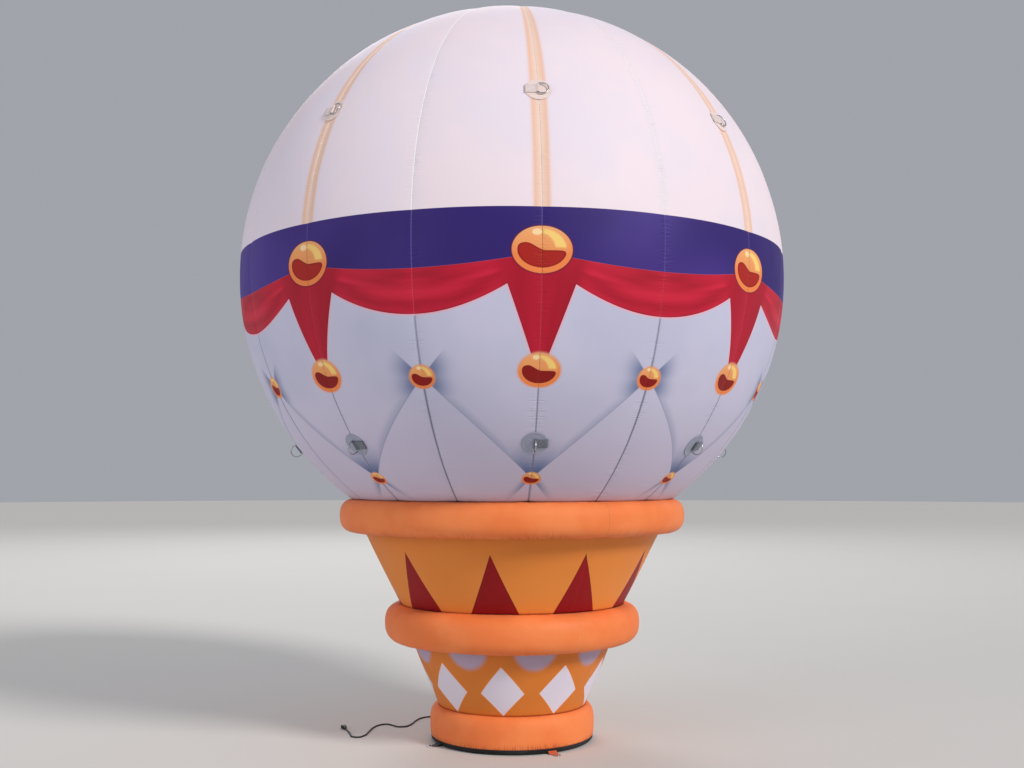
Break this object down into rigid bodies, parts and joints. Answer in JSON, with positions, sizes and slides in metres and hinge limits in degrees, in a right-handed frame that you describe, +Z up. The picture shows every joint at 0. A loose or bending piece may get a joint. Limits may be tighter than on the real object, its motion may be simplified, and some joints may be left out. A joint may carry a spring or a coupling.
{
  "type": "inflatable hot-air-balloon advertising display",
  "caption": "Standing inflatable shaped like a hot-air balloon: a gored sphere on a pot of puffed rings and cones, with guy rings, a base blower and its lead.",
  "frame": {"origin": "centre of the base on the floor", "axes": "+Z up; the pictured front faces -Y and +X is to the viewer's right"},
  "size_m": [2.9738, 2.9738, 4],
  "materials": {
    "printed_fabric": "printed polyester oxford cloth, slight sheen",
    "orange_fabric": "printed polyester oxford cloth, slight sheen",
    "amber_fabric": "printed polyester oxford cloth, slight sheen",
    "black_fabric": "coated oxford cloth",
    "grey_webbing": "woven polyester webbing and patch cloth",
    "white_webbing": "woven polyester webbing and patch cloth",
    "ring_steel": "bright zinc-plated wire",
    "black_plastic": "moulded, fine texture",
    "cord_sheath": "smooth flexible sheath"
  },
  "bodies": {
    "envelope": {"gore_01": "printed_fabric", "gore_02": "printed_fabric", "gore_03": "printed_fabric", "gore_04": "printed_fabric", "gore_05": "printed_fabric", "gore_06": "printed_fabric", "gore_07": "printed_fabric", "gore_08": "printed_fabric", "gore_09": "printed_fabric", "gore_10": "printed_fabric", "gore_11": "printed_fabric", "gore_12": "printed_fabric", "gore_13": "printed_fabric", "gore_14": "printed_fabric", "gore_15": "printed_fabric", "gore_16": "printed_fabric", "crown_patch": "printed_fabric", "rim_ring": "orange_fabric", "upper_cone": "amber_fabric", "middle_ring": "orange_fabric", "lower_cone": "amber_fabric", "base_ring": "orange_fabric", "floor_sheet": "black_fabric", "blower": "black_plastic", "air_inlet": "black_plastic", "power_cord": "cord_sheath", "plug": "black_plastic", "upper_anchor_1": "white_webbing", "upper_anchor_2": "white_webbing", "upper_anchor_3": "white_webbing", "upper_anchor_4": "white_webbing", "upper_anchor_5": "white_webbing", "upper_anchor_6": "white_webbing", "upper_anchor_7": "white_webbing", "upper_anchor_8": "white_webbing", "lower_anchor_1": "grey_webbing", "lower_anchor_2": "grey_webbing", "lower_anchor_3": "grey_webbing", "lower_anchor_4": "grey_webbing", "lower_anchor_5": "grey_webbing", "lower_anchor_6": "grey_webbing", "lower_anchor_7": "grey_webbing", "lower_anchor_8": "grey_webbing"},
    "upper_ring_1": {"upper_ring_1": "ring_steel"},
    "upper_ring_2": {"upper_ring_2": "ring_steel"},
    "upper_ring_3": {"upper_ring_3": "ring_steel"},
    "upper_ring_4": {"upper_ring_4": "ring_steel"},
    "upper_ring_5": {"upper_ring_5": "ring_steel"},
    "upper_ring_6": {"upper_ring_6": "ring_steel"},
    "upper_ring_7": {"upper_ring_7": "ring_steel"},
    "upper_ring_8": {"upper_ring_8": "ring_steel"},
    "lower_ring_1": {"lower_ring_1": "ring_steel"},
    "lower_ring_2": {"lower_ring_2": "ring_steel"},
    "lower_ring_3": {"lower_ring_3": "ring_steel"},
    "lower_ring_4": {"lower_ring_4": "ring_steel"},
    "lower_ring_5": {"lower_ring_5": "ring_steel"},
    "lower_ring_6": {"lower_ring_6": "ring_steel"},
    "lower_ring_7": {"lower_ring_7": "ring_steel"},
    "lower_ring_8": {"lower_ring_8": "ring_steel"}
  },
  "joints": [
    {"name": "upper_ring_1_swing", "type": "hinge", "parent": "envelope", "child": "upper_ring_1", "pos_m": [0.11926, -1.33633, 3.18371], "axis": [0.0401, -0.4491, -0.8926], "range_deg": [0, 150]},
    {"name": "upper_ring_2_swing", "type": "hinge", "parent": "envelope", "child": "upper_ring_2", "pos_m": [1.02926, -0.8606, 3.18371], "axis": [0.3459, -0.2892, -0.8926], "range_deg": [0, 150]},
    {"name": "upper_ring_3_swing", "type": "hinge", "parent": "envelope", "child": "upper_ring_3", "pos_m": [1.33633, 0.11926, 3.18371], "axis": [0.4491, 0.0401, -0.8926], "range_deg": [0, 150]},
    {"name": "upper_ring_4_swing", "type": "hinge", "parent": "envelope", "child": "upper_ring_4", "pos_m": [0.8606, 1.02926, 3.18371], "axis": [0.2892, 0.3459, -0.8926], "range_deg": [0, 150]},
    {"name": "upper_ring_5_swing", "type": "hinge", "parent": "envelope", "child": "upper_ring_5", "pos_m": [-0.11926, 1.33633, 3.18371], "axis": [-0.0401, 0.4491, -0.8926], "range_deg": [0, 150]},
    {"name": "upper_ring_6_swing", "type": "hinge", "parent": "envelope", "child": "upper_ring_6", "pos_m": [-1.02926, 0.8606, 3.18371], "axis": [-0.3459, 0.2892, -0.8926], "range_deg": [0, 150]},
    {"name": "upper_ring_7_swing", "type": "hinge", "parent": "envelope", "child": "upper_ring_7", "pos_m": [-1.33633, -0.11926, 3.18371], "axis": [-0.4491, -0.0401, -0.8926], "range_deg": [0, 150]},
    {"name": "upper_ring_8_swing", "type": "hinge", "parent": "envelope", "child": "upper_ring_8", "pos_m": [-0.8606, -1.02926, 3.18371], "axis": [-0.2892, -0.3459, -0.8926], "range_deg": [0, 150]},
    {"name": "lower_ring_1_swing", "type": "hinge", "parent": "envelope", "child": "lower_ring_1", "pos_m": [0.10457, -1.17168, 1.5703], "axis": [0.0553, -0.6201, 0.7826], "range_deg": [-80, 70]},
    {"name": "lower_ring_2_swing", "type": "hinge", "parent": "envelope", "child": "lower_ring_2", "pos_m": [0.90245, -0.75456, 1.5703], "axis": [0.4776, -0.3993, 0.7826], "range_deg": [-80, 70]},
    {"name": "lower_ring_3_swing", "type": "hinge", "parent": "envelope", "child": "lower_ring_3", "pos_m": [1.17168, 0.10457, 1.5703], "axis": [0.6201, 0.0553, 0.7826], "range_deg": [-80, 70]},
    {"name": "lower_ring_4_swing", "type": "hinge", "parent": "envelope", "child": "lower_ring_4", "pos_m": [0.75456, 0.90245, 1.5703], "axis": [0.3993, 0.4776, 0.7826], "range_deg": [-80, 70]},
    {"name": "lower_ring_5_swing", "type": "hinge", "parent": "envelope", "child": "lower_ring_5", "pos_m": [-0.10457, 1.17168, 1.5703], "axis": [-0.0553, 0.6201, 0.7826], "range_deg": [-80, 70]},
    {"name": "lower_ring_6_swing", "type": "hinge", "parent": "envelope", "child": "lower_ring_6", "pos_m": [-0.90245, 0.75456, 1.5703], "axis": [-0.4776, 0.3993, 0.7826], "range_deg": [-80, 70]},
    {"name": "lower_ring_7_swing", "type": "hinge", "parent": "envelope", "child": "lower_ring_7", "pos_m": [-1.17168, -0.10457, 1.5703], "axis": [-0.6201, -0.0553, 0.7826], "range_deg": [-80, 70]},
    {"name": "lower_ring_8_swing", "type": "hinge", "parent": "envelope", "child": "lower_ring_8", "pos_m": [-0.75456, -0.90245, 1.5703], "axis": [-0.3993, -0.4776, 0.7826], "range_deg": [-80, 70]}
  ]
}
